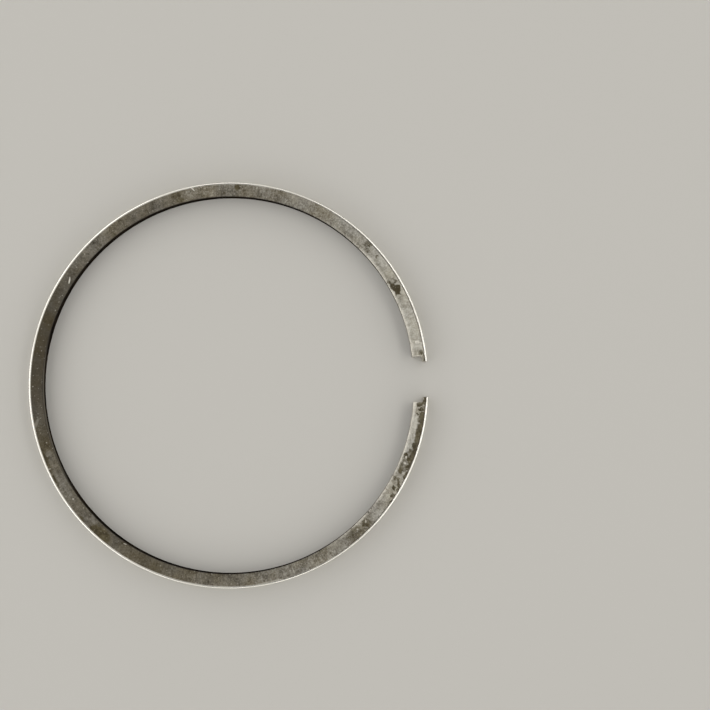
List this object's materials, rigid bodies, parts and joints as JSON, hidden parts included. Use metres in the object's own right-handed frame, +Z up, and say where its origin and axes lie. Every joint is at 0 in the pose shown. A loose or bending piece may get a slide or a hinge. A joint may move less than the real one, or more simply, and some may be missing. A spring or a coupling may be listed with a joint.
{
  "type": "piston ring",
  "caption": "Split flat ring with rounded plated outer edges and a locating pin notch inside each end; it springs outwards to seal a piston in its cylinder.",
  "frame": {"origin": "under the middle of the ring's box, on its lower side face", "axes": "+Z up, from the lower to the upper side face; +X from the ring's back towards the middle of its gap"},
  "size_m": [0.055, 0.0558, 0.0018],
  "materials": {
    "ring_iron": "ground and phosphated sides, worn bare in patches near the gap, with a bright plated running face and outer edges"
  },
  "bodies": {
    "root": {"piston_ring": "ring_iron"}
  },
  "joints": []
}
